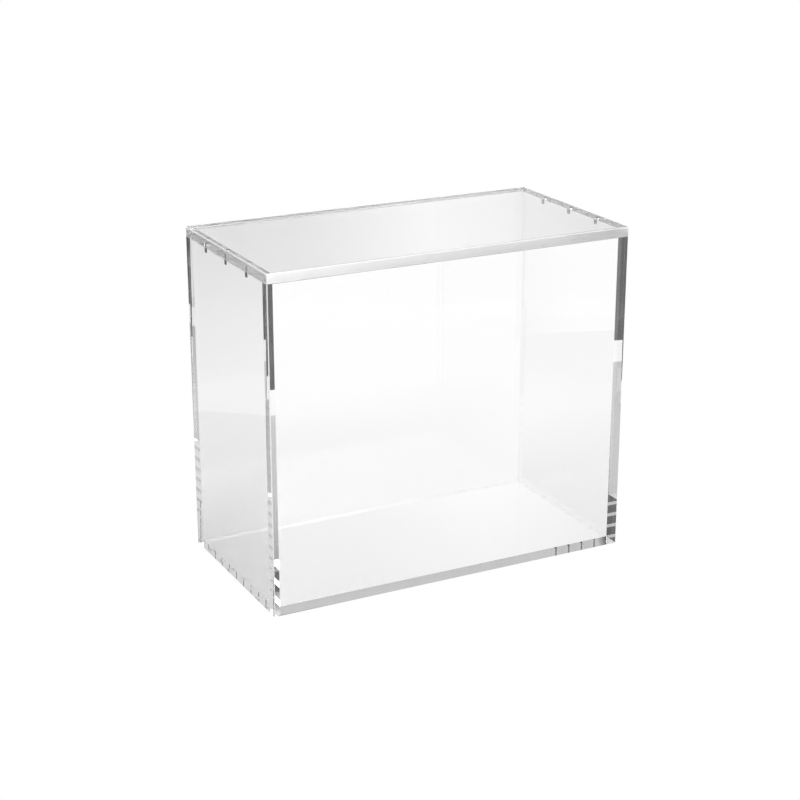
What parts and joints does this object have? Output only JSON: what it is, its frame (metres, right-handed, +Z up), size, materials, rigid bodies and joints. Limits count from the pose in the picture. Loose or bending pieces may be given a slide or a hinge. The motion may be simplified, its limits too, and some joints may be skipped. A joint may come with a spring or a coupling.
{
  "type": "acrylic display case",
  "caption": "Clear rectangular display case: a welded box of flat polished sheets with a flat lift-off lid held by small magnets set in the end walls.",
  "frame": {"origin": "middle of the footprint, on the surface that the case stands on", "axes": "+Z up; +X along the long side; -Y towards the front panel"},
  "size_m": [0.235, 0.122, 0.205],
  "materials": {
    "acrylic": "polished",
    "magnet": "satin"
  },
  "bodies": {
    "case": {"floor_panel": "acrylic", "front_panel": "acrylic", "back_panel": "acrylic", "left_panel": "acrylic", "right_panel": "acrylic", "wall_magnet_left_front": "magnet", "wall_magnet_left_middle": "magnet", "wall_magnet_left_back": "magnet", "wall_magnet_right_front": "magnet", "wall_magnet_right_middle": "magnet", "wall_magnet_right_back": "magnet"},
    "lid": {"lid_panel": "acrylic", "lid_magnet_left_front": "magnet", "lid_magnet_left_middle": "magnet", "lid_magnet_left_back": "magnet", "lid_magnet_right_front": "magnet", "lid_magnet_right_middle": "magnet", "lid_magnet_right_back": "magnet"}
  },
  "joints": [
    {"name": "lid_lift", "type": "slide", "parent": "case", "child": "lid", "axis": [0, 0, 1], "range_m": [0, 0.2]}
  ]
}
